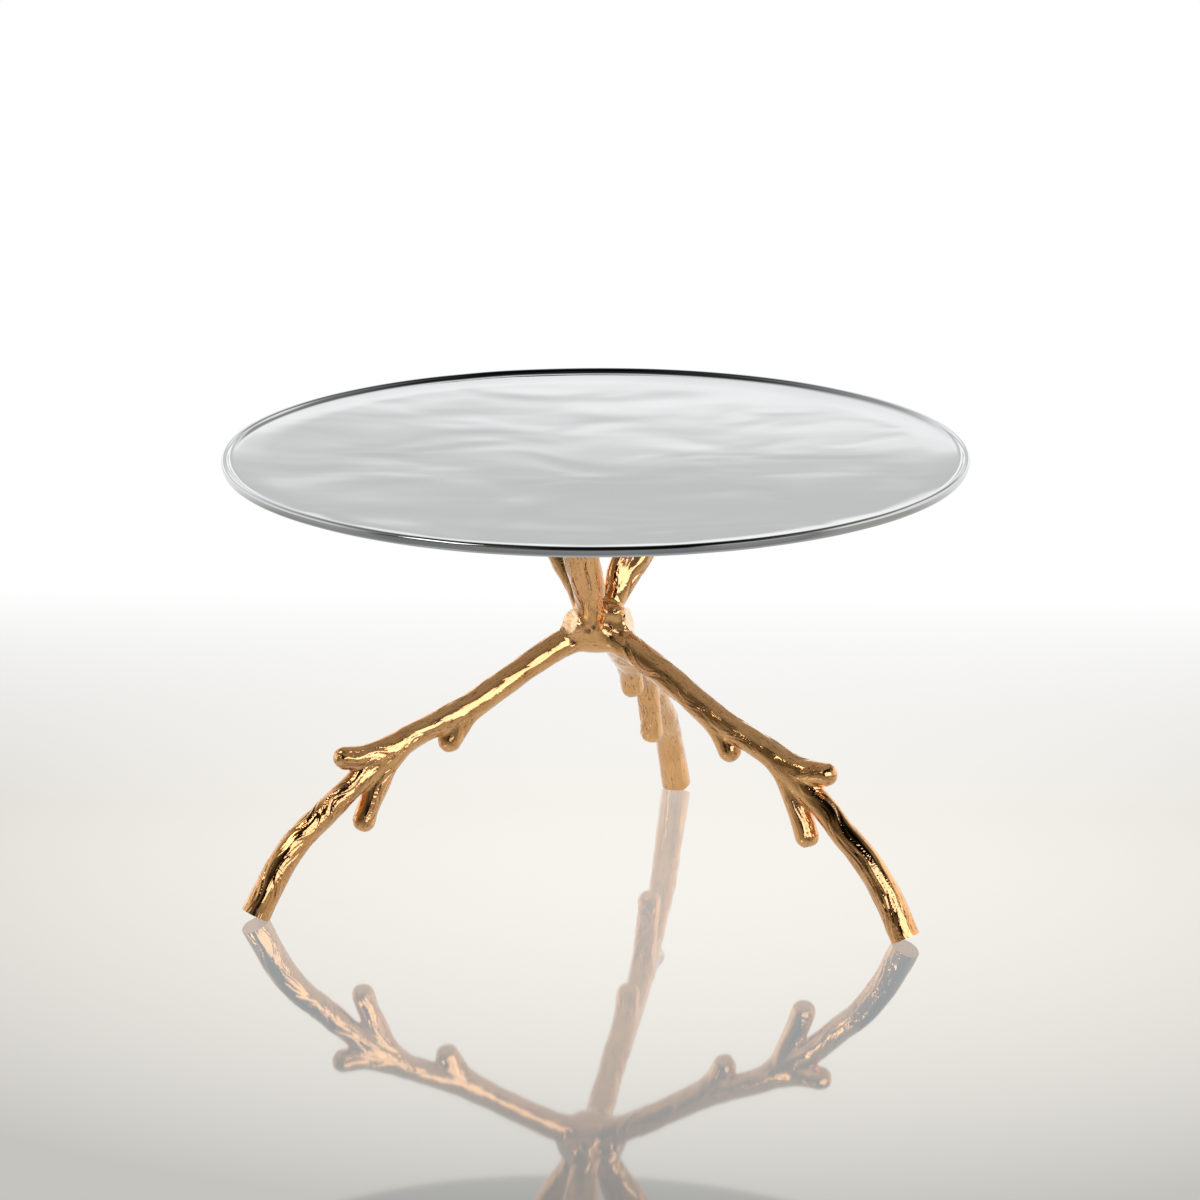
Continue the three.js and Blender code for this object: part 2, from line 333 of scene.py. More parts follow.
def dish_steel():
    """Mirror-polished stainless sheet, with a little haze and very fine buffing marks."""
    nodes, links, shader, material = make_material("dish_steel")
    place = object_place(nodes)
    haze = noise_of(nodes, links, place, 22.0, 3.0)
    buffing = noise_of(nodes, links, stretched(nodes, links, place, (0.1, 1.0, 1.0)), 800.0, 2.0)
    links.new(mixed(nodes, links, haze, (0.6, 0.605, 0.61), (0.55, 0.555, 0.562)),
              shader.inputs["Base Color"])
    links.new(ranged(nodes, links, haze, 0.35, 0.65, 0.035, 0.08), shader.inputs["Roughness"])
    links.new(bumped(nodes, links, buffing, 0.01, 0.25), shader.inputs["Normal"])
    shader.inputs["Metallic"].default_value = 1.0
    return material


def hardware_steel():
    """Plain stainless fasteners, with turning marks."""
    nodes, links, shader, material = make_material("hardware_steel")
    place = object_place(nodes)
    marks = noise_of(nodes, links, stretched(nodes, links, place, (0.3, 0.3, 1.0)), 2600.0, 2.0)
    links.new(mixed(nodes, links, marks, (0.62, 0.625, 0.635), (0.72, 0.725, 0.73)),
              shader.inputs["Base Color"])
    links.new(ranged(nodes, links, marks, 0.3, 0.7, 0.2, 0.34), shader.inputs["Roughness"])
    links.new(bumped(nodes, links, marks, 0.05, 0.4), shader.inputs["Normal"])
    shader.inputs["Metallic"].default_value = 1.0
    return material


def pad_fibre():
    """Off-white washer plastic, faintly mottled."""
    nodes, links, shader, material = make_material("fibre_pad")
    mottle = noise_of(nodes, links, object_place(nodes), 700.0, 3.0)
    links.new(mixed(nodes, links, mottle, (0.74, 0.72, 0.66), (0.66, 0.64, 0.58)),
              shader.inputs["Base Color"])
    links.new(ranged(nodes, links, mottle, 0.3, 0.7, 0.42, 0.58), shader.inputs["Roughness"])
    links.new(bumped(nodes, links, mottle, 0.03, 0.4), shader.inputs["Normal"])
    return material


BRASS = cast_brass()
SAWN = sawn_brass()
STEEL = dish_steel()
HARDWARE = hardware_steel()
FIBRE = pad_fibre()


# ---------------------------------------------------------------- pieces
def add_piece(name, mesh, materials, slot, *cad_nodes):
    """Links a mesh as a finished piece that stands for its CAD nodes."""
    piece = bpy.data.objects.new(name, mesh)
    bpy.context.scene.collection.objects.link(piece)
    mesh.materials.clear()
    for material in materials:
        mesh.materials.append(material)
    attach(piece, "root")
    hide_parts(*cad_nodes)
    return piece


def mesh_from(name, vertices, faces):
    """A smooth-shaded mesh from vertices in millimetres."""
    mesh = bpy.data.meshes.new(name)
    mesh.from_pydata((np.asarray(vertices) * MM).tolist(), [], faces)
    mesh.shade_smooth()
    return mesh


def turned(azimuth):
    """The matrix of a turn about the stand's axis."""
    c, s = math.cos(math.radians(azimuth)), math.sin(math.radians(azimuth))
    return np.array([[c, -s, 0], [s, c, 0], [0, 0, 1]])


def unit(vector):
    return vector / np.linalg.norm(vector)


# ---------------------------------------------------------------- noise in numpy
GRADIENTS = np.random.default_rng(11).normal(size=(256, 3))
GRADIENTS /= np.linalg.norm(GRADIENTS, axis=1)[:, None]


def noise_at(points):
    """Smooth gradient noise, about -1 to 1, at many points at once."""
    cell = np.floor(points).astype(np.int64)
    inside = points - cell
    ease = inside ** 3 * (inside * (inside * 6 - 15) + 10)
    total = np.zeros(len(points))
    for corner in itertools.product((0, 1), repeat=3):
        x, y, z = (cell + corner).T
        mixed_bits = (x * 73856093) ^ (y * 19349663) ^ (z * 83492791)
        gradient = GRADIENTS[(mixed_bits ^ (mixed_bits >> 9)) % len(GRADIENTS)]
        share = np.where(corner, ease, 1 - ease).prod(1)
        total += share * ((inside - corner) * gradient).sum(1)
    return total * 1.7


# ---------------------------------------------------------------- twigs
# A twig is a smooth union of limbs, each a line of round sections, worked in millimetres.
def smooth_line(points, step):
    """Points a step apart along a Catmull-Rom line through the given ones."""
    p = np.array(points, float)
    p = np.vstack([2 * p[0] - p[1], p, 2 * p[-1] - p[-2]])
    t = np.linspace(0, 1, 24, endpoint=False)[:, None]
    parts = []
    for a, b, c, d in zip(p, p[1:], p[2:], p[3:]):
        parts.append(b + 0.5 * t * (c - a + t * (2 * a - 5 * b + 4 * c - d + t * (3 * b - a - 3 * c + d))))
    dense = np.vstack([*parts, p[-2]])
    run = run_along(dense)
    even = np.linspace(0, run[-1], max(3, round(run[-1] / step) + 1))
    return np.stack([np.interp(even, run, dense[:, i]) for i in range(3)], 1)


def run_along(line):
    """The distance along a line at each of its points."""
    return np.r_[0, np.cumsum(np.linalg.norm(np.diff(line, axis=0), axis=1))]


class Limb:
    """Round sections along a line in a radial plane, turned to an azimuth."""

    def __init__(self, points, start_radius, end_radius, azimuth=0, seed=0, sway=0.0, saw=None):
        line = smooth_line(points, LIMB_STEP)
        self.run = run_along(line)
        share = self.run / self.run[-1]
        line[:, 1] += sway * np.sin(np.pi * share) * np.sin(self.run / 13 + seed)
        turn = turned(azimuth)
        self.centres = line @ turn.T
        swell = noise_at(np.stack([self.run * 0.07, self.run * 0 + seed, self.run * 0], 1))
        self.radii = start_radius + (end_radius - start_radius) * share + 0.3 * swell
        tangents = np.gradient(self.centres, axis=0)
        self.tangents = tangents / np.linalg.norm(tangents, axis=1)[:, None]
        ups = np.cross(self.tangents, turn @ np.array([0.0, 1.0, 0.0]))
        self.ups = ups / np.linalg.norm(ups, axis=1)[:, None]
        self.sides = np.cross(self.ups, self.tangents)
        self.seed = seed
        self.barked = 1.0
        self.saw = None if saw is None else (turn @ saw[0], turn @ saw[1])

    def locate(self, points):
        """Points' distance outside this limb, the outward way, and their place in its grain."""
        square = (self.centres ** 2).sum(1) - 2 * points @ self.centres.T
        nearest = square.argmin(1)
        offset = points - self.centres[nearest]
        along = (offset * self.tangents[nearest]).sum(1)
        low = np.where(nearest == 0, 0, -LIMB_STEP / 2)
        high = np.where(nearest == len(self.run) - 1, 0, LIMB_STEP / 2)
        along = np.clip(along, low, high)
        radial = offset - self.tangents[nearest] * along[:, None]
        reach = np.linalg.norm(radial, axis=1) + 1e-9
        run = self.run[nearest] + along
        distance = reach - np.interp(run, self.run, self.radii)
        way = radial / reach[:, None]
        if self.saw is not None:
            beyond = (points - self.saw[0]) @ self.saw[1]
            sawn = beyond > distance
            distance = np.where(sawn, beyond, distance)
            way = np.where(sawn[:, None], self.saw[1], way)
        u = (radial * self.sides[nearest]).sum(1)
        v = (radial * self.ups[nearest]).sum(1)
        return distance, way, np.stack([u, v, run], 1)

    def sawn_share(self, points):
        """1 on the limb's sawn end and 0 off it."""
        if self.saw is None:
            return np.zeros(len(points))
        offset = points - self.saw[0]
        off_plane = offset @ self.saw[1]
        across = np.linalg.norm(offset - off_plane[:, None] * self.saw[1], axis=1)
        return ((np.abs(off_plane) < 0.7) & (across < self.radii[-1] - 0.2)).astype(float)

    def rough(self):
        """Vertices and faces of a closed tube round the limb."""
        angles = np.linspace(0, 2 * np.pi, RING_SIDES, endpoint=False)[:, None]
        last = len(self.run) - 1
        sections = [(0, -0.7, 0.7), *((i, 0, 1) for i in range(last + 1)), (last, 0.7, 0.7)]
        vertices, faces = [], []
        for i, shift, share in sections:
            radius = self.radii[i] if self.saw is None else self.radii[i] * 0.9
            middle = self.centres[i] + self.tangents[i] * shift * radius
            circle = np.cos(angles) * self.sides[i] + np.sin(angles) * self.ups[i]
            vertices.extend(middle + circle * radius * share)
        for k, j in itertools.product(range(len(sections) - 1), range(RING_SIDES)):
            a, b = k * RING_SIDES + j, k * RING_SIDES + (j + 1) % RING_SIDES
            faces.append((a, b, b + RING_SIDES, a + RING_SIDES))
        end = len(vertices) - RING_SIDES
        faces.append(tuple(range(RING_SIDES - 1, -1, -1)))
        faces.append(tuple(range(end, end + RING_SIDES)))
        return vertices, faces


class Lug:
    """A flat ear with a hole, round at both ends, as a limb with no bark."""

    def __init__(self, azimuth):
        self.turn = turned(azimuth)
        self.seed = 0
        self.barked = 0.0
        self.top = LUG_TOP + 1
        self.bottom = LUG_TOP - LUG_THICKNESS

    def outside(self, points):
        """Points' distance outside the ear, its edges a little rounded."""
        soft = 0.5
        local = points @ self.turn
        along = local[:, 0] - np.clip(local[:, 0], LUG_INNER, LUG_CENTRE)
        rim = np.hypot(along, local[:, 1]) - LUG_HALF_WIDTH + soft
        hole = LUG_HOLE_RADIUS + soft - np.hypot(local[:, 0] - LUG_CENTRE, local[:, 1])
        middle, half = (self.top + self.bottom) / 2, (self.top - self.bottom) / 2
        flat = np.abs(local[:, 2] - middle) - half + soft
        wall = np.maximum(rim, hole)
        past = np.hypot(np.maximum(wall, 0), np.maximum(flat, 0))
        return past + np.minimum(np.maximum(wall, flat), 0) - soft

    def locate(self, points):
        nudge = 0.02
        steps = np.eye(3) * nudge
        slopes = [self.outside(points + step) - self.outside(points - step) for step in steps]
        way = np.stack(slopes, 1) / (2 * nudge)
        return self.outside(points), way, points @ self.turn

    def sawn_share(self, points):
        return np.zeros(len(points))

    def rough(self):
        """Vertices and faces of the ear with its hole."""
        sides = 32
        angles = np.linspace(0, 2 * np.pi, sides, endpoint=False)
        inner = np.stack([np.cos(angles), np.sin(angles)], 1)
        centre = np.where(np.cos(angles) > 0, LUG_CENTRE, LUG_INNER)
        outline = inner * LUG_HALF_WIDTH + np.stack([centre, angles * 0], 1)
        hole = inner * LUG_HOLE_RADIUS + np.array([LUG_CENTRE, 0])
        rings = [(outline, self.bottom), (outline, self.top), (hole, self.top), (hole, self.bottom)]
        vertices = [self.turn @ np.array([x, y, z]) for ring, z in rings for x, y in ring]
        faces = []
        for k, j in itertools.product(range(4), range(sides)):
            a, b = j, (j + 1) % sides
            near, far = k * sides, (k + 1) % 4 * sides
            faces.append((near + a, near + b, far + b, far + a))
        return vertices, faces


def melted(points, limbs):
    """The smooth union of limbs at points: distance, outward way, each limb's share and grain."""
    from_hub = np.linalg.norm(points - np.array([0, 0, HUB_HEIGHT]), axis=1)
    softness = TWIG_MELT + KNOT_MELT * np.exp(-((from_hub / KNOT_REACH) ** 2))
    found = [limb.locate(points) for limb in limbs]
    distances = np.stack([distance for distance, _, _ in found])
    lowest = distances.min(0)
    weights = np.exp(-(distances - lowest) / softness)
    total = weights.sum(0)
    shares = weights / total
    way = sum(share[:, None] * each[1] for share, each in zip(shares, found))
    return lowest - softness * np.log(total), way, shares, [each[2] for each in found]


def bark(grain, seed):
    """Bark at places in a grain: its height in millimetres, and how deep in a crease."""
    drift = noise_at(np.stack([grain[:, 2] * 0.05, grain[:, 2] * 0 + seed, grain[:, 2] * 0], 1))
    c, s = np.cos(drift * 1.5), np.sin(drift * 1.5)
    u = c * grain[:, 0] - s * grain[:, 1] + seed * 3
    v = s * grain[:, 0] + c * grain[:, 1]
    run = grain[:, 2]
    facets = noise_at(np.stack([u * 0.24, v * 0.24, run * 0.012], 1))
    ribs = noise_at(np.stack([u * 0.5, v * 0.5, run * 0.02], 1))
    threads = noise_at(np.stack([u * 1.1, v * 1.1, run * 0.045], 1))
    lumps = noise_at(np.stack([u * 0.3, v * 0.3, run * 0.2 + 4.5], 1))
    patches = noise_at(np.stack([u * 0.13, v * 0.13, run * 0.016 + 8.5], 1))
    rough = np.clip((patches + 0.12) / 0.22, 0, 1)
    crease = np.clip(1 - np.abs(ribs) / CREASE_WIDTH, 0, 1) * (0.25 + 0.75 * rough)
    scratch = np.clip(1 - np.abs(threads) / SCRATCH_WIDTH, 0, 1) * rough
    height = 0.3 * facets + rough * (0.3 * ribs + 0.14 * threads + 0.05 * lumps)
    height -= CREASE_DEPTH * crease + SCRATCH_DEPTH * scratch
    return height, np.clip(crease + 0.4 * scratch, 0, 1)


def joined_rough(name, limbs):
    vertices, faces = [], []
    for limb in limbs:
        more_vertices, more_faces = limb.rough()
        first = len(vertices)
        vertices.extend(more_vertices)
        faces.extend(tuple(i + first for i in face) for face in more_faces)
    return mesh_from(name, vertices, faces)


def voxel_remeshed(mesh):
    """The mesh's outside as even quads, a voxel across."""
    rough = bpy.data.objects.new("rough", mesh)
    bpy.context.scene.collection.objects.link(rough)
    remesh = rough.modifiers.new("remesh", "REMESH")
    remesh.mode = "VOXEL"
    remesh.voxel_size = VOXEL * MM
    depsgraph = bpy.context.evaluated_depsgraph_get()
    result = bpy.data.meshes.new_from_object(rough.evaluated_get(depsgraph))
    bpy.data.objects.remove(rough)
    bpy.data.meshes.remove(mesh)
    return result


def bark_strength(points):
    """Bark is full on the twigs and fades on the hub, which has been ground smooth."""
    from_hub = np.linalg.norm(points - np.array([0, 0, HUB_HEIGHT]), axis=1)
    return 0.2 + 0.8 * np.clip((from_hub - 14) / 7, 0, 1)


def grow(name, limbs, all_limbs, dents=()):
    """A twig's mesh: the limbs' outside, melted together with all_limbs, with bark on it."""
    mesh = voxel_remeshed(joined_rough(name, limbs))
    flat = np.empty(len(mesh.vertices) * 3)
    mesh.vertices.foreach_get("co", flat)
    points = flat.reshape(-1, 3) / MM
    for _ in range(MELT_STEPS):
        distance, way, shares, grains = melted(points, all_limbs)
        points -= distance[:, None] * way / np.maximum((way ** 2).sum(1), 0.2)[:, None]
    distance, way, shares, grains = melted(points, all_limbs)
    normal = way / (np.linalg.norm(way, axis=1)[:, None] + 1e-9)
    height, crease = np.zeros(len(points)), np.zeros(len(points))
    for share, grain, limb in zip(shares, grains, all_limbs):
        near = share > 0.02
        if limb.barked and near.any():
            rise, depth = bark(grain[near], limb.seed)
            height[near] += share[near] * rise
            crease[near] += share[near] * depth
    strength = bark_strength(points)
    height *= strength
    crease *= strength
    sawn = np.zeros(len(points))
    for limb in all_limbs:
        sawn = np.maximum(sawn, limb.sawn_share(points))
    for centre, radius, depth in dents:
        fall = np.exp(-((points - centre) ** 2).sum(1) / (2 * radius ** 2))
        height -= depth * fall
        # Each dent also raises the crease share towards 2, which the brass paints near black as painted
        # shade.
        crease = np.maximum(crease, 2 * fall)
    points = (points + normal * height[:, None]) * MM
    mesh.vertices.foreach_set("co", points.ravel())
    grain = np.stack(grains)[shares.argmax(0), np.arange(len(points))]
    layer = mesh.attributes.new("grain", "FLOAT_VECTOR", "POINT")
    layer.data.foreach_set("vector", grain.astype(np.float32).ravel())
    # The crease share darkens the brass in its material: partly patina, partly painted shade.
    layer = mesh.attributes.new("crease", "FLOAT", "POINT")
    layer.data.foreach_set("value", crease.astype(np.float32))
    layer = mesh.attributes.new("sawn", "FLOAT", "POINT")
    layer.data.foreach_set("value", sawn.astype(np.float32))
    mesh.shade_smooth()
    mesh.update()
    return mesh


def saw_off(mesh, point, way):
    """Takes away what lies beyond a plane, in millimetres, and closes the cut with a flat face."""
    body = bmesh.new()
    body.from_mesh(mesh)
    everything = body.verts[:] + body.edges[:] + body.faces[:]
    cut = bmesh.ops.bisect_plane(body, geom=everything, plane_co=Vector(np.asarray(point) * MM),
                                 plane_no=Vector(way), clear_outer=True)
    rim = [item for item in cut["geom_cut"] if isinstance(item, bmesh.types.BMEdge)]
    for face in bmesh.ops.holes_fill(body, edges=rim)["faces"]:
        face.smooth = False
        face.material_index = 1
    for edge in rim:
        edge.smooth = False
    body.to_mesh(mesh)
    body.free()


# ---------------------------------------------------------------- the base
def at(r, z, side=0.0):
    """A point of a radial plane."""
    return np.array([r, side, z], float)


def on_root(slope, distance):
    angle = math.radians(slope)
    return at(distance * math.cos(angle), HUB_HEIGHT + distance * math.sin(angle))


def root_way(slope):
    angle = math.radians(slope)
    return at(math.cos(angle), math.sin(angle))


def leg_limbs(azimuth, seed):
    """The main twig out to its blunt stub, two stubs turned down, and the shin to the foot."""
    main = [on_root(LEG_SLOPE, 2), on_root(LEG_SLOPE, 16.15), on_root(LEG_SLOPE, 20.15), at(37, 101.7),
            at(56, 90.7), at(70, 84.3), at(84, 78.4), at(97, 73), at(109, 70), at(119.4, 70)]
    inner_stub = [at(50, 94), at(60, 86.2), at(66, 79.5), at(69.8, 73.2)]
    outer_stub = [at(90, 76), at(98, 67), at(103.6, 56.5), at(108, 47), at(110.4, 40.5)]
    shin = [at(98, 71), at(112, 60.5), at(120.8, 52.8), at(129.5, 44.8), at(137.6, 38),
            at(145.2, 29.6), at(153, 17.8), at(161.3, 2.5), at(165, -5)]
    return [
        Limb(main, 6.2, 5.2, azimuth, seed, 0.5),
        Limb(inner_stub, 4.7, 5.3, azimuth, seed + 1),
        Limb(outer_stub, 4.6, 5.2, azimuth, seed + 2),
        Limb(shin, 5.3, 6.8, azimuth, seed + 3, 0.5),
    ]


def arm_limbs(azimuth, fork_turn, seed):
    """The outer prong up to its lug, and the side prong to its blunt tip."""
    line = [on_root(ARM_SLOPE, 2), on_root(ARM_SLOPE, 16.15), on_root(ARM_SLOPE, 20.15), at(17, 144.5),
            at(22.5, 152.5), at(31, 166.5), at(39.5, 180.5), at(46, 191)]
    turn = math.radians(fork_turn)
    lean = math.radians(ARM_SLOPE)
    aside = at(-math.sin(lean) * math.cos(turn), math.cos(lean) * math.cos(turn), -math.sin(turn))
    shoved = abs(math.sin(turn)) ** 4
    shifts = (0, 0, 0.5, 1.2, 1.6, 1.6, 1.4, 1)
    line = [point - aside * shoved * shift for point, shift in zip(line, shifts)]
    spread = (2, 5.5 - 1.2 * shoved, 8 - 2.6 * shoved, 8.5 - 2.5 * shoved)
    fork_line = [on_root(ARM_SLOPE, 20.15), at(14, 140.5), at(20, 149), at(27, 160)]
    side = [point + aside * reach for point, reach in zip(fork_line, spread)]
    return [Limb(line, 5.8, 4.3, azimuth, seed), Limb(side, 4.4, 3.9, azimuth, seed + 1)]


def root_stub(slope, azimuth, radius, seed):
    """A short limb that fills a root out past its face, for the hub's rough shape."""
    return Limb([on_root(slope, 2), on_root(slope, 12), on_root(slope, 22)], radius, radius, azimuth, seed)


def hub_limbs():
    """The hub's core and the three sawn twig ends above the legs."""
    core = [at(-2, HUB_HEIGHT - 0.5), at(0, HUB_HEIGHT - 0.5), at(2, HUB_HEIGHT - 0.5)]
    limbs = [Limb(core, HUB_CORE, HUB_CORE, 0, 90)]
    start, face = at(0, HUB_HEIGHT), at(BUTT_REACH, HUB_HEIGHT + BUTT_RISE)
    way = unit(face - start)
    line = [start, (start + face) / 2, face + way * BUTT_RADIUS]
    for azimuth in LEG_AZIMUTHS.values():
        limbs.append(Limb(line, BUTT_RADIUS, BUTT_RADIUS, azimuth + BUTT_TURN, azimuth, saw=(face, way)))
    right_knob = [at(4, 122), at(8, 125.5), at(10.6, 127.6)]
    limbs.append(Limb(right_knob, 4.4, 3.9, LEG_AZIMUTHS["right"] - 10, 77))
    return limbs


def hub_dents():
    """Casting pits round the front arm's heel: azimuth, distance and height, then radius and depth."""
    pits = ((291, 14.4, 123.4, 1.9, 3.8), (298, 14.6, 121.2, 1.1, 2.0), (305, 14.9, 120.0, 0.9, 1.6),
            (312, 15.2, 119.6, 0.8, 1.2), (255, 14.8, 120.6, 1.0, 1.6), (258, 14.8, 118.6, 0.8, 1.3),
            (264, 14.6, 122.8, 0.7, 1.0), (271, 14.6, 124.4, 0.7, 1.1), (278, 14.4, 126.6, 0.7, 1.1),
            (284, 14.2, 129.4, 0.7, 1.0), (288, 13.8, 132.0, 0.7, 0.9), (316, 13.5, 127.2, 0.7, 0.8),
            (306, 13.8, 129.4, 0.5, 0.6), (226, 15.0, 114.6, 0.8, 1.1), (226, 12.2, 124.4, 0.6, 0.8))
    return [(turned(azimuth) @ at(r, z), radius, depth) for azimuth, r, z, radius, depth in pits]


def build_leg(side, own, neighbours):
    """A leg, sawn across its foot, level with the table and at its root."""
    turn = turned(LEG_AZIMUTHS[side])
    foot = turn @ at(FOOT_CONTACT, 0)
    tilt = math.radians(FOOT_TILT)
    mesh = grow(f"leg_{side}_twig", own, own + neighbours)
    saw_off(mesh, foot, turn @ at(math.sin(tilt), -math.cos(tilt)))
    saw_off(mesh, foot, (0, 0, -1))
    saw_off(mesh, turn @ on_root(LEG_SLOPE, ROOT_DISTANCE + SEAM), turn @ -root_way(LEG_SLOPE))
    add_piece(f"leg_{side}_twig", mesh, [BRASS, SAWN], "cast_brass", f"leg_{side}")


def build_arm(side, own, neighbours):
    """An arm with a collar at its root, sawn across its lug's top and at its root."""
    turn = turned(ARM_AZIMUTHS[side])
    collar_line = [on_root(ARM_SLOPE, 10), on_root(ARM_SLOPE, 17), on_root(ARM_SLOPE, 22)]
    collar = Limb(collar_line, 7.6, 6.0, ARM_AZIMUTHS[side])
    mesh = grow(f"arm_{side}_twig", [*own, collar], own + neighbours)
    saw_off(mesh, at(0, LUG_TOP), (0, 0, 1))
    saw_off(mesh, turn @ on_root(ARM_SLOPE, ARM_SEAMS[side] + SEAM), turn @ -root_way(ARM_SLOPE))
    add_piece(f"arm_{side}_twig", mesh, [BRASS, SAWN], "cast_brass", f"arm_{side}")


def build_hub(knot, heel, roots):
    """The knot with its casting pits, sawn where each leg and each arm begins."""
    stubs = [root_stub(LEG_SLOPE, azimuth, 6, 0) for azimuth in LEG_AZIMUTHS.values()]
    stubs += [root_stub(ARM_SLOPE, azimuth, 5.5, 0) for azimuth in ARM_AZIMUTHS.values()]
    mesh = grow("hub_knot", [*knot, *stubs, heel], roots + knot, hub_dents())
    for azimuth in LEG_AZIMUTHS.values():
        turn = turned(azimuth)
        saw_off(mesh, turn @ on_root(LEG_SLOPE, ROOT_DISTANCE - SEAM), turn @ root_way(LEG_SLOPE))
    for side, azimuth in ARM_AZIMUTHS.items():
        turn = turned(azimuth)
        saw_off(mesh, turn @ on_root(ARM_SLOPE, ARM_SEAMS[side] - SEAM), turn @ root_way(ARM_SLOPE))
    add_piece("hub_knot", mesh, [BRASS, SAWN], "cast_brass", "hub")


def build_base():
    """The legs, the arms and the hub, each melted together with its neighbours before it is sawn off."""
    legs = {side: leg_limbs(azimuth, 10 + 7 * i) for i, (side, azimuth) in enumerate(LEG_AZIMUTHS.items())}
    arms = {side: arm_limbs(azimuth, FORK_TURNS[side], 40 + 7 * i)
            for i, (side, azimuth) in enumerate(ARM_AZIMUTHS.items())}
    heel_line = [on_root(ARM_SLOPE, 24), at(9.8, 128.5), at(8.9, 122.5)]
    heel = Limb(heel_line, 5.4, 5.0, ARM_AZIMUTHS["front"] + 6, 47)
    arms["front"].append(heel)
    knot = hub_limbs()
    roots = [limbs[0] for limbs in legs.values()] + [limb for limbs in arms.values() for limb in limbs]
    for side, own in legs.items():
        build_leg(side, own, [limb for limb in roots if limb not in own] + knot)
    for side, limbs in arms.items():
        own = [*limbs, Lug(ARM_AZIMUTHS[side])]
        build_arm(side, own, [limb for limb in roots if limb not in own] + knot)
    build_hub(knot, heel, roots)


# ---------------------------------------------------------------- the dish
def wall_rise(share, width):
    """How high a wall has risen over a share of its width: gently at first, then ever more steeply."""
    steps = np.linspace(0, share, 60)
    start = math.atan(2 * FLOOR_SAG / (DISH_RADIUS - WALL_WIDTH))
    gentle, steep = math.radians(GENTLE_SLOPE), math.radians(WALL_SLOPE)
    early = np.clip(steps / GENTLE_SHARE, 0, 1)
    late = np.clip((steps - GENTLE_SHARE) / (1 - GENTLE_SHARE), 0, 1)
    slopes = np.tan(start + (gentle - start) * early + (steep - gentle) * late ** 2)
    return width * ((slopes[1:] + slopes[:-1]) / 2 * np.diff(steps)).sum()


def dish_profile():
    """The dish's section from the underside's middle, round the lip, to the floor's middle."""
    lip_r, lip_z = DISH_RADIUS - LIP_RADIUS, LIP_TOP - LIP_RADIUS + LIP_LIFT
    tilt = math.radians(WALL_SLOPE)
    in_r, in_z = lip_r - LIP_RADIUS * math.sin(tilt), lip_z + LIP_RADIUS * math.cos(tilt)
    heel_z = DISH_UNDERSIDE + HEEL_HEIGHT
    heel_r = DISH_RADIUS - HEEL_RADIUS - 0.3
    shares = 1 - np.linspace(1, 0, 25) ** 1.6
    flat = [(FLAT_RADIUS * share, DISH_UNDERSIDE) for share in np.linspace(0, 1, 31)[:-1]]
    slope = [(FLAT_RADIUS + (heel_r - FLAT_RADIUS) * share, DISH_UNDERSIDE + HEEL_HEIGHT * share ** 2)
             for share in np.linspace(0, 1, 22)[:-1]]
    heel = [(heel_r + HEEL_RADIUS * math.sin(a), heel_z + HEEL_RADIUS * (1 - math.cos(a)))
            for a in np.linspace(0, math.pi / 2, 8)]
    lip = [(lip_r + LIP_RADIUS * math.sin(a), lip_z - LIP_RADIUS * math.cos(a))
           for a in np.linspace(math.pi / 2, math.pi + tilt, 17)[:-1]]
    floor_z = in_z - wall_rise(1, WALL_WIDTH)
    inner = [(in_r - WALL_WIDTH * (1 - share), floor_z + wall_rise(share, WALL_WIDTH)) for share in shares]
    sag = [(inner[0][0] * share, floor_z - FLOOR_SAG * (1 - share ** 2))
           for share in np.linspace(0, 1, 53)[:-1]]
    return flat + slope + heel + lip + inner[::-1] + sag[::-1]


def hammered(x, y):
    """How far hammering has lifted the sheet, in millimetres: broad uneven hollows, soft crests."""
    flat = np.zeros_like(x)
    shift_x = 16 * noise_at(np.stack([x * 0.02, y * 0.02, flat + 1.5], 1))
    shift_y = 16 * noise_at(np.stack([x * 0.02, y * 0.02, flat + 6.5], 1))
    u, v = x + shift_x, y + shift_y
    broad = noise_at(np.stack([u * 0.009, v * 0.012, flat + 5.5], 1))
    small = noise_at(np.stack([u * 0.03, v * 0.04, flat + 9.5], 1))
    crest = np.abs(noise_at(np.stack([u * 0.02, v * 0.028, flat + 3.5], 1)))
    fine = noise_at(np.stack([u * 0.045, v * 0.1, flat + 4.5], 1))
    return BROAD_HOLLOWS * broad + SMALL_HOLLOWS * small - SOFT_CRESTS * crest + FINE_RIPPLES * fine


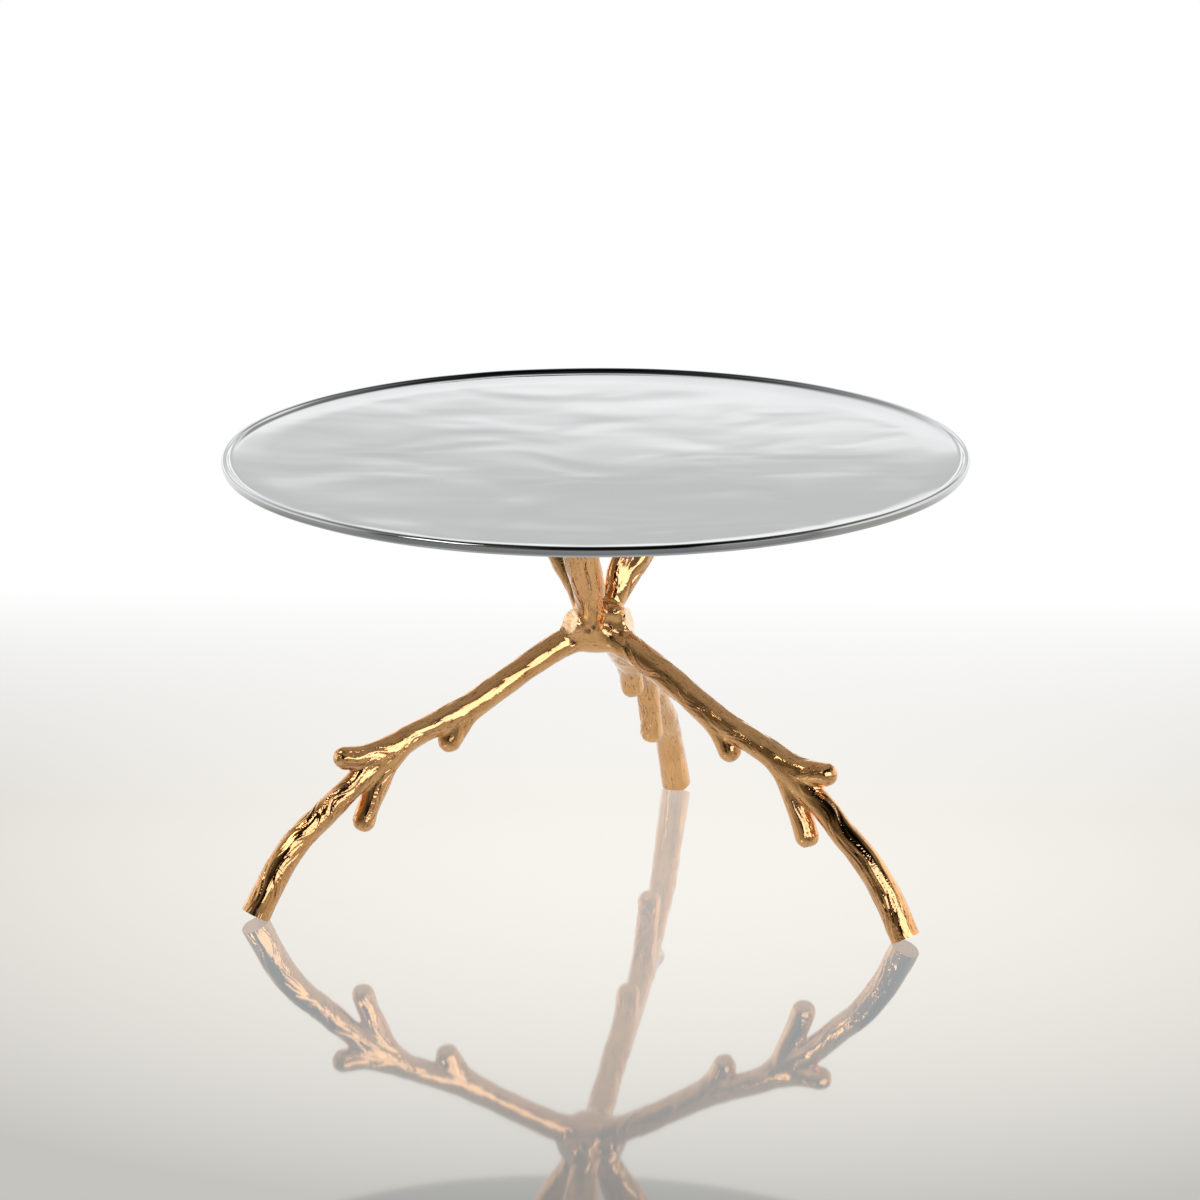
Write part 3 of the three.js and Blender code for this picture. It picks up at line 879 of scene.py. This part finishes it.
def build_dish():
    """The turned sheet with its hammering; the rim wobbles, leans and lies a little aside."""
    sides = DISH_SIDES
    profile = np.array(dish_profile())
    angles = np.linspace(0, 2 * np.pi, sides, endpoint=False)
    flat = np.zeros(sides)
    wobble = noise_at(np.stack([np.cos(angles) * 1.4, np.sin(angles) * 1.4, flat + 2.5], 1))
    rise = noise_at(np.stack([np.cos(angles) * 1.7, np.sin(angles) * 1.7, flat + 7.5], 1))
    vertices = []
    for r, z in profile:
        outward = (r / DISH_RADIUS) ** 2
        near_rim = outward ** 3
        radius = r + (RIM_GROWTH + RIM_WOBBLE * wobble) * near_rim
        x, y = radius * np.cos(angles), radius * np.sin(angles)
        lift = hammered(x, y) * (1 - RIM_STIFFNESS * near_rim) + RIM_WAVE * rise * near_rim
        lean = math.radians(RIM_TILT) * x * outward
        vertices.extend(np.stack([x + RIM_SHIFT * outward, y, z + lift + lean - SHEET_SINK], 1))
    faces = []
    for k, j in itertools.product(range(1, len(profile) - 2), range(sides)):
        a, b = k * sides + j, k * sides + (j + 1) % sides
        faces.append((a, b, b + sides, a + sides))
    kept = vertices[sides:-sides]
    kept += [vertices[0], vertices[-1]]
    faces = [tuple(i - sides for i in face) for face in faces]
    bottom, top = len(kept) - 2, len(kept) - 1
    last_ring = bottom - sides
    for j in range(sides):
        after = (j + 1) % sides
        faces.append((bottom, after, j))
        faces.append((top, last_ring + j, last_ring + after))
    mesh = mesh_from("dish_sheet", kept, faces)
    add_piece("dish_sheet", mesh, [STEEL], "dish_steel", "dish")


# ---------------------------------------------------------------- fasteners
def lathe(name, profile, sides, place, corners=None):
    """A closed profile of (radius, z) turned about an upright axis; corners makes it many-sided."""
    angles = np.linspace(0, 2 * np.pi, sides, endpoint=False)
    vertices = []
    for i, (radius, z) in enumerate(profile):
        reach = np.full(sides, radius, float)
        if corners is not None and i in corners:
            face = np.pi / 3
            flat = radius / np.cos((angles + face / 2) % face - face / 2)
            reach = np.minimum(flat, corners[i])
        vertices.extend(np.stack([reach * np.cos(angles), reach * np.sin(angles), angles * 0 + z], 1))
    faces = []
    for k, j in itertools.product(range(len(profile)), range(sides)):
        near, far = k * sides, (k + 1) % len(profile) * sides
        after = (j + 1) % sides
        faces.append((near + j, near + after, far + after, far + j))
    mesh = mesh_from(name, np.array(vertices) + place, faces)
    body = bmesh.new()
    body.from_mesh(mesh)
    bmesh.ops.remove_doubles(body, verts=body.verts, dist=0.002 * MM)
    bmesh.ops.dissolve_degenerate(body, edges=body.edges, dist=0.002 * MM)
    bmesh.ops.recalc_face_normals(body, faces=body.faces)
    body.to_mesh(mesh)
    body.free()
    mesh.set_sharp_from_angle(angle=math.radians(35))
    return mesh


def washer_profile(hole, radius, low, high, soft):
    """A washer's section with its four edges rounded off."""
    return [(hole, low + soft), (hole + soft, low), (radius - soft, low), (radius, low + soft),
            (radius, high - soft), (radius - soft, high), (hole + soft, high), (hole, high - soft)]


def build_ring(part, side, place, material, slot, soft):
    """A pad or a washer, as wide and as thick as the CAD part."""
    low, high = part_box(f"{part}_{side}")
    radius = (high.x - low.x) / 2 / MM
    profile = washer_profile(LUG_HOLE_RADIUS, radius, low.z / MM, high.z / MM, soft)
    mesh = lathe(f"{part}_{side}_ring", profile, FASTENER_SIDES, place)
    add_piece(f"{part}_{side}_ring", mesh, [material], slot, f"{part}_{side}")


def build_stud(side, place):
    """A weld stud: a plain shank under the dish and rings of thread below it."""
    low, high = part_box(f"stud_{side}")
    radius = (high.y - low.y) / 2 / MM
    bottom, top = low.z / MM, high.z / MM
    thread = []
    for z in np.arange(bottom + 0.4, top - 3.2, THREAD_PITCH):
        thread += [(radius - THREAD_DEPTH, z), (radius, z + 0.3), (radius, z + 0.4)]
    profile = [(0.001, bottom), (radius - 0.5, bottom), *thread, (radius, top - 2.5),
               (radius, top), (0.001, top)]
    mesh = lathe(f"stud_{side}_thread", profile, FASTENER_SIDES, place)
    add_piece(f"stud_{side}_thread", mesh, [HARDWARE], "hardware_steel", f"stud_{side}")


def build_cap_nut(side, place):
    """A cap nut: a hexagon with a blind bore above and a dome below."""
    low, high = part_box(f"cap_nut_{side}")
    bottom, top = low.z / MM, high.z / MM
    bore = LUG_HOLE_RADIUS
    shoulder = top - HEX_HEIGHT
    bowl = [(DOME_RADIUS * math.cos(a), shoulder - 1.5 - DOME_RADIUS * math.sin(a))
            for a in np.radians(np.linspace(0, 88, 10))]
    profile = [(bore, top), (NUT_FLAT - 0.1, top), (NUT_FLAT, top - 0.35), (NUT_FLAT, shoulder + 0.35),
               (NUT_FLAT - 0.1, shoulder), (DOME_RADIUS, shoulder), *bowl, (0.001, bottom + 0.001),
               (0.001, top - 6), (bore, top - 6)]
    corners = {1: NUT_FLAT, 2: NUT_CORNER, 3: NUT_CORNER, 4: NUT_FLAT}
    mesh = lathe(f"cap_nut_{side}_dome", profile, FASTENER_SIDES, place, corners)
    add_piece(f"cap_nut_{side}_dome", mesh, [HARDWARE], "hardware_steel", f"cap_nut_{side}")


def build_fasteners():
    """Each arm's pad, washer, stud and cap nut."""
    for side, azimuth in ARM_AZIMUTHS.items():
        place = turned(azimuth) @ at(LUG_CENTRE, 0)
        build_ring("pad", side, place, FIBRE, "fibre_pad", 0.15)
        build_ring("washer", side, place, HARDWARE, "hardware_steel", 0.12)
        build_stud(side, place)
        build_cap_nut(side, place)


# ---------------------------------------------------------------- studio
def floor_acrylic():
    """Glossy pale acrylic that glows: a painted pool of light brightest round the stand, a painted
    brighter grey over the front of the floor, and lost in the white sweep behind it.
    """
    nodes, links, shader, material = make_material("floor_acrylic")
    nodes.remove(shader)
    place = nodes.new("ShaderNodeNewGeometry").outputs["Position"]
    split = nodes.new("ShaderNodeSeparateXYZ")
    links.new(place, split.inputs["Vector"])
    middle = nodes.new("ShaderNodeMapping")
    middle.inputs["Location"].default_value = (-0.07, -0.183, 0.0)
    middle.inputs["Scale"].default_value = (1.61, 1.41, 0.0)
    links.new(place, middle.inputs["Vector"])
    square = nodes.new("ShaderNodeVectorMath")
    square.operation = "DOT_PRODUCT"
    links.new(middle.outputs["Vector"], square.inputs[0])
    links.new(middle.outputs["Vector"], square.inputs[1])
    # The floor's own glow is painted light: a pool brightest round the stand that fades outward, lifted to
    # a brighter grey across the front; the mirror's tint dims with the same spread.
    spread = ranged(nodes, links, square.outputs["Value"], 0.0, 0.7, 0.0, 1.0)
    near = product(nodes, links, ranged(nodes, links, split.outputs["Y"], -0.65, -0.5, 1.0, 0.0),
                   ranged(nodes, links, split.outputs["Y"], -0.9, -0.75, 0.4, 1.0))
    painted_glow_pool = mixed(nodes, links, spread, WORKTOP_GLOW, WORKTOP_GLOW_EDGE)
    glow = nodes.new("ShaderNodeEmission")
    links.new(mixed(nodes, links, near, painted_glow_pool, (0.5, 0.5, 0.5)), glow.inputs["Color"])
    matt = nodes.new("ShaderNodeBsdfDiffuse")
    matt.inputs["Color"].default_value = (0.13, 0.13, 0.13, 1.0)
    lit = nodes.new("ShaderNodeAddShader")
    links.new(glow.outputs[0], lit.inputs[0])
    links.new(matt.outputs[0], lit.inputs[1])
    mirror = nodes.new("ShaderNodeBsdfGlossy")
    links.new(mixed(nodes, links, spread, MIRROR_TINT, MIRROR_EDGE), mirror.inputs["Color"])
    mirror.inputs["Roughness"].default_value = 0.035
    gloss = nodes.new("ShaderNodeLayerWeight")
    gloss.inputs["Blend"].default_value = 0.5
    shine = ranged(nodes, links, gloss.outputs["Facing"], 0.2, 0.74, 0.05, 0.5)
    polished = nodes.new("ShaderNodeMixShader")
    links.new(shine, polished.inputs["Fac"])
    links.new(lit.outputs[0], polished.inputs[1])
    links.new(mirror.outputs[0], polished.inputs[2])
    sweep = nodes.new("ShaderNodeEmission")
    sweep.inputs["Color"].default_value = (1.0, 1.0, 1.0, 1.0)
    ending = nodes.new("ShaderNodeMixShader")
    links.new(ranged(nodes, links, split.outputs["Y"], 0.12, 0.5, 0.0, 1.0), ending.inputs["Fac"])
    links.new(polished.outputs[0], ending.inputs[1])
    links.new(sweep.outputs[0], ending.inputs[2])
    links.new(ending.outputs[0], nodes["Material Output"].inputs["Surface"])
    return material


def build_floor():
    reach = 8000
    corners = [(-reach, -reach, 0), (reach, -reach, 0), (reach, reach, 0), (-reach, reach, 0)]
    mesh = mesh_from("studio_floor", corners, [(0, 1, 2, 3)])
    mesh.materials.append(floor_acrylic())
    floor = bpy.data.objects.new("studio_floor", mesh)
    floor.location.z = -0.05 * MM
    bpy.context.scene.collection.objects.link(floor)


def build_world():
    """A white sweep behind the stand, a window at the right, and a dark room in front."""
    world = bpy.data.worlds.new("studio")
    bpy.context.scene.world = world
    world.use_nodes = True
    nodes, links = world.node_tree.nodes, world.node_tree.links
    split = nodes.new("ShaderNodeSeparateXYZ")
    links.new(nodes.new("ShaderNodeTexCoord").outputs["Generated"], split.inputs["Vector"])
    x, y, z = split.outputs["X"], split.outputs["Y"], split.outputs["Z"]
    sweep = level_ramp(nodes, links, z,
                       ((0.0, 1.4), (0.14, 1.2), (0.17, 0.73), (0.21, 0.76), (0.24, 0.84), (0.264, 1.0),
                        (0.285, 1.2), (0.31, 1.3), (0.42, 1.2), (0.6, 0.97), (0.75, 0.5), (0.88, 0.06),
                        (1.0, 0.02)))
    right = product(nodes, links, ranged(nodes, links, x, 0.08, 0.22, 0.0, 1.0),
                    ranged(nodes, links, z, 0.27, 0.36, 0.0, 1.0))
    left = product(nodes, links, ranged(nodes, links, x, -0.7, -0.3, 1.0, 0.0),
                   ranged(nodes, links, z, 0.25, 0.5, 0.0, 1.0))
    less_right = mixed(nodes, links, right, (1.0, 1.0, 1.0), (0.35, 0.35, 0.35))
    narrowed = mixed(nodes, links, left, less_right, (0.45, 0.45, 0.45))
    behind = level_ramp(nodes, links, ranged(nodes, links, y, -1.0, 1.0, 0.0, 1.0),
                        ((0.32, 0.015), (0.36, 0.45), (0.5, 1.0)))
    lit = multiplied(nodes, links, multiplied(nodes, links, sweep, behind), narrowed)
    left_front = product(nodes, links, ranged(nodes, links, x, -0.55, -0.2, 1.0, 0.0),
                         ranged(nodes, links, y, -0.45, -0.25, 1.0, 0.0))
    filled = mixed(nodes, links, left_front, lit, ROOM_LEFT)
    window = product(nodes, links, ranged(nodes, links, x, 0.5, 0.62, 0.0, 1.0),
                     product(nodes, links, ranged(nodes, links, z, 0.5, 0.62, 1.0, 0.0),
                             ranged(nodes, links, y, -0.3, -0.1, 0.0, 1.0)))
    filled = mixed(nodes, links, window, filled, WINDOW_LIGHT)
    front_right = product(nodes, links, ranged(nodes, links, x, 0.45, 0.6, 0.0, 1.0),
                          product(nodes, links, ranged(nodes, links, z, 0.4, 0.55, 1.0, 0.0),
                                  ranged(nodes, links, y, -0.25, -0.4, 0.0, 1.0)))
    filled = mixed(nodes, links, front_right, filled, ROOM_RIGHT)
    pale = nodes.new("ShaderNodeLightPath").outputs["Is Camera Ray"]
    links.new(mixed(nodes, links, pale, filled, (1.0, 1.0, 1.0)), nodes["Background"].inputs["Color"])


def add_softbox(name, place, width, height, power):
    """An oblong area light that faces the stand's middle."""
    light = bpy.data.lights.new(name, "AREA")
    light.shape = "RECTANGLE"
    light.size = width
    light.size_y = height
    light.energy = power
    box = bpy.data.objects.new(name, light)
    box.location = place
    box.rotation_euler = (Vector((0, 0, 0.1)) - Vector(place)).to_track_quat("-Z", "Y").to_euler()
    box.visible_camera = False
    bpy.context.scene.collection.objects.link(box)
    return box


def add_camera():
    """A long lens that looks down on the dish at a slant."""
    camera = bpy.data.cameras.new("camera")
    camera.angle = math.radians(CAMERA_FIELD)
    camera.clip_end = 100
    view = bpy.data.objects.new("camera", camera)
    lift = math.radians(CAMERA_ELEVATION)
    back, up = CAMERA_DISTANCE * math.cos(lift), CAMERA_DISTANCE * math.sin(lift)
    place = Matrix.Translation((CAMERA_ASIDE, -back, up))
    tip = Matrix.Rotation(math.radians(90 - CAMERA_PITCH), 4, "X")
    view.matrix_world = place @ tip @ Matrix.Rotation(math.radians(CAMERA_ROLL), 4, "Z")
    bpy.context.scene.collection.objects.link(view)
    bpy.context.scene.camera = view


bpy.context.scene.view_settings.view_transform = "Standard"
add_camera()
build_world()
build_floor()
twig_light = add_softbox("softbox_right", (1.04, -1.69, 0.5), 2.2, 1.8, 25)
twig_light.data.color = COOL_LIGHT
add_softbox("softbox_left", (-1.2, -0.9, 1.3), 0.6, 0.6, 4)
build_dish()
build_base()
build_fasteners()

# The right softbox lights the twigs only, as if a flag kept it off the dish.
twigs = bpy.data.collections.new("twigs")
for piece in bpy.context.scene.objects:
    if piece.name.endswith("_twig") or piece.name == "hub_knot":
        twigs.objects.link(piece)
twig_light.light_linking.receiver_collection = twigs
